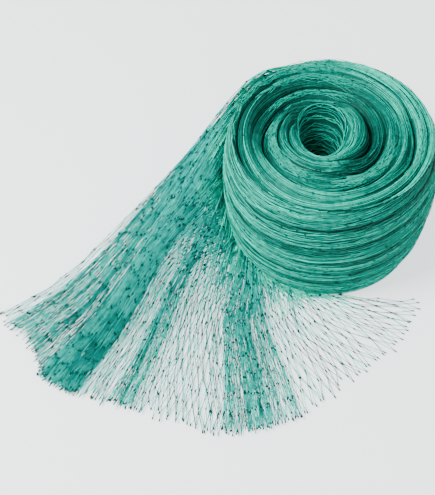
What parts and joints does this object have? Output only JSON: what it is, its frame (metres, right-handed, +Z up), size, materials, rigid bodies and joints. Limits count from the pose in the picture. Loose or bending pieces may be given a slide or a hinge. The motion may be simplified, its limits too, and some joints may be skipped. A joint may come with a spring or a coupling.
{
  "type": "bird netting roll",
  "caption": "Roll of fine knotted garden netting standing on its end, with its loose end fanned out on the ground.",
  "frame": {"origin": "bottom centre of the whole object's box, on the surface it stands on", "axes": "+Z up along the roll's hole, +X to the right and -Y to the front as in the picture; the loose end fans out to -X and -Y"},
  "size_m": [0.3322, 0.2695, 0.1118],
  "materials": {
    "net_roll": "thin shiny green plastic twine, packed close",
    "loose_end": "thin shiny green plastic twine, open meshes"
  },
  "bodies": {
    "root": {"net_roll": "net_roll", "loose_end": "loose_end"}
  },
  "joints": []
}
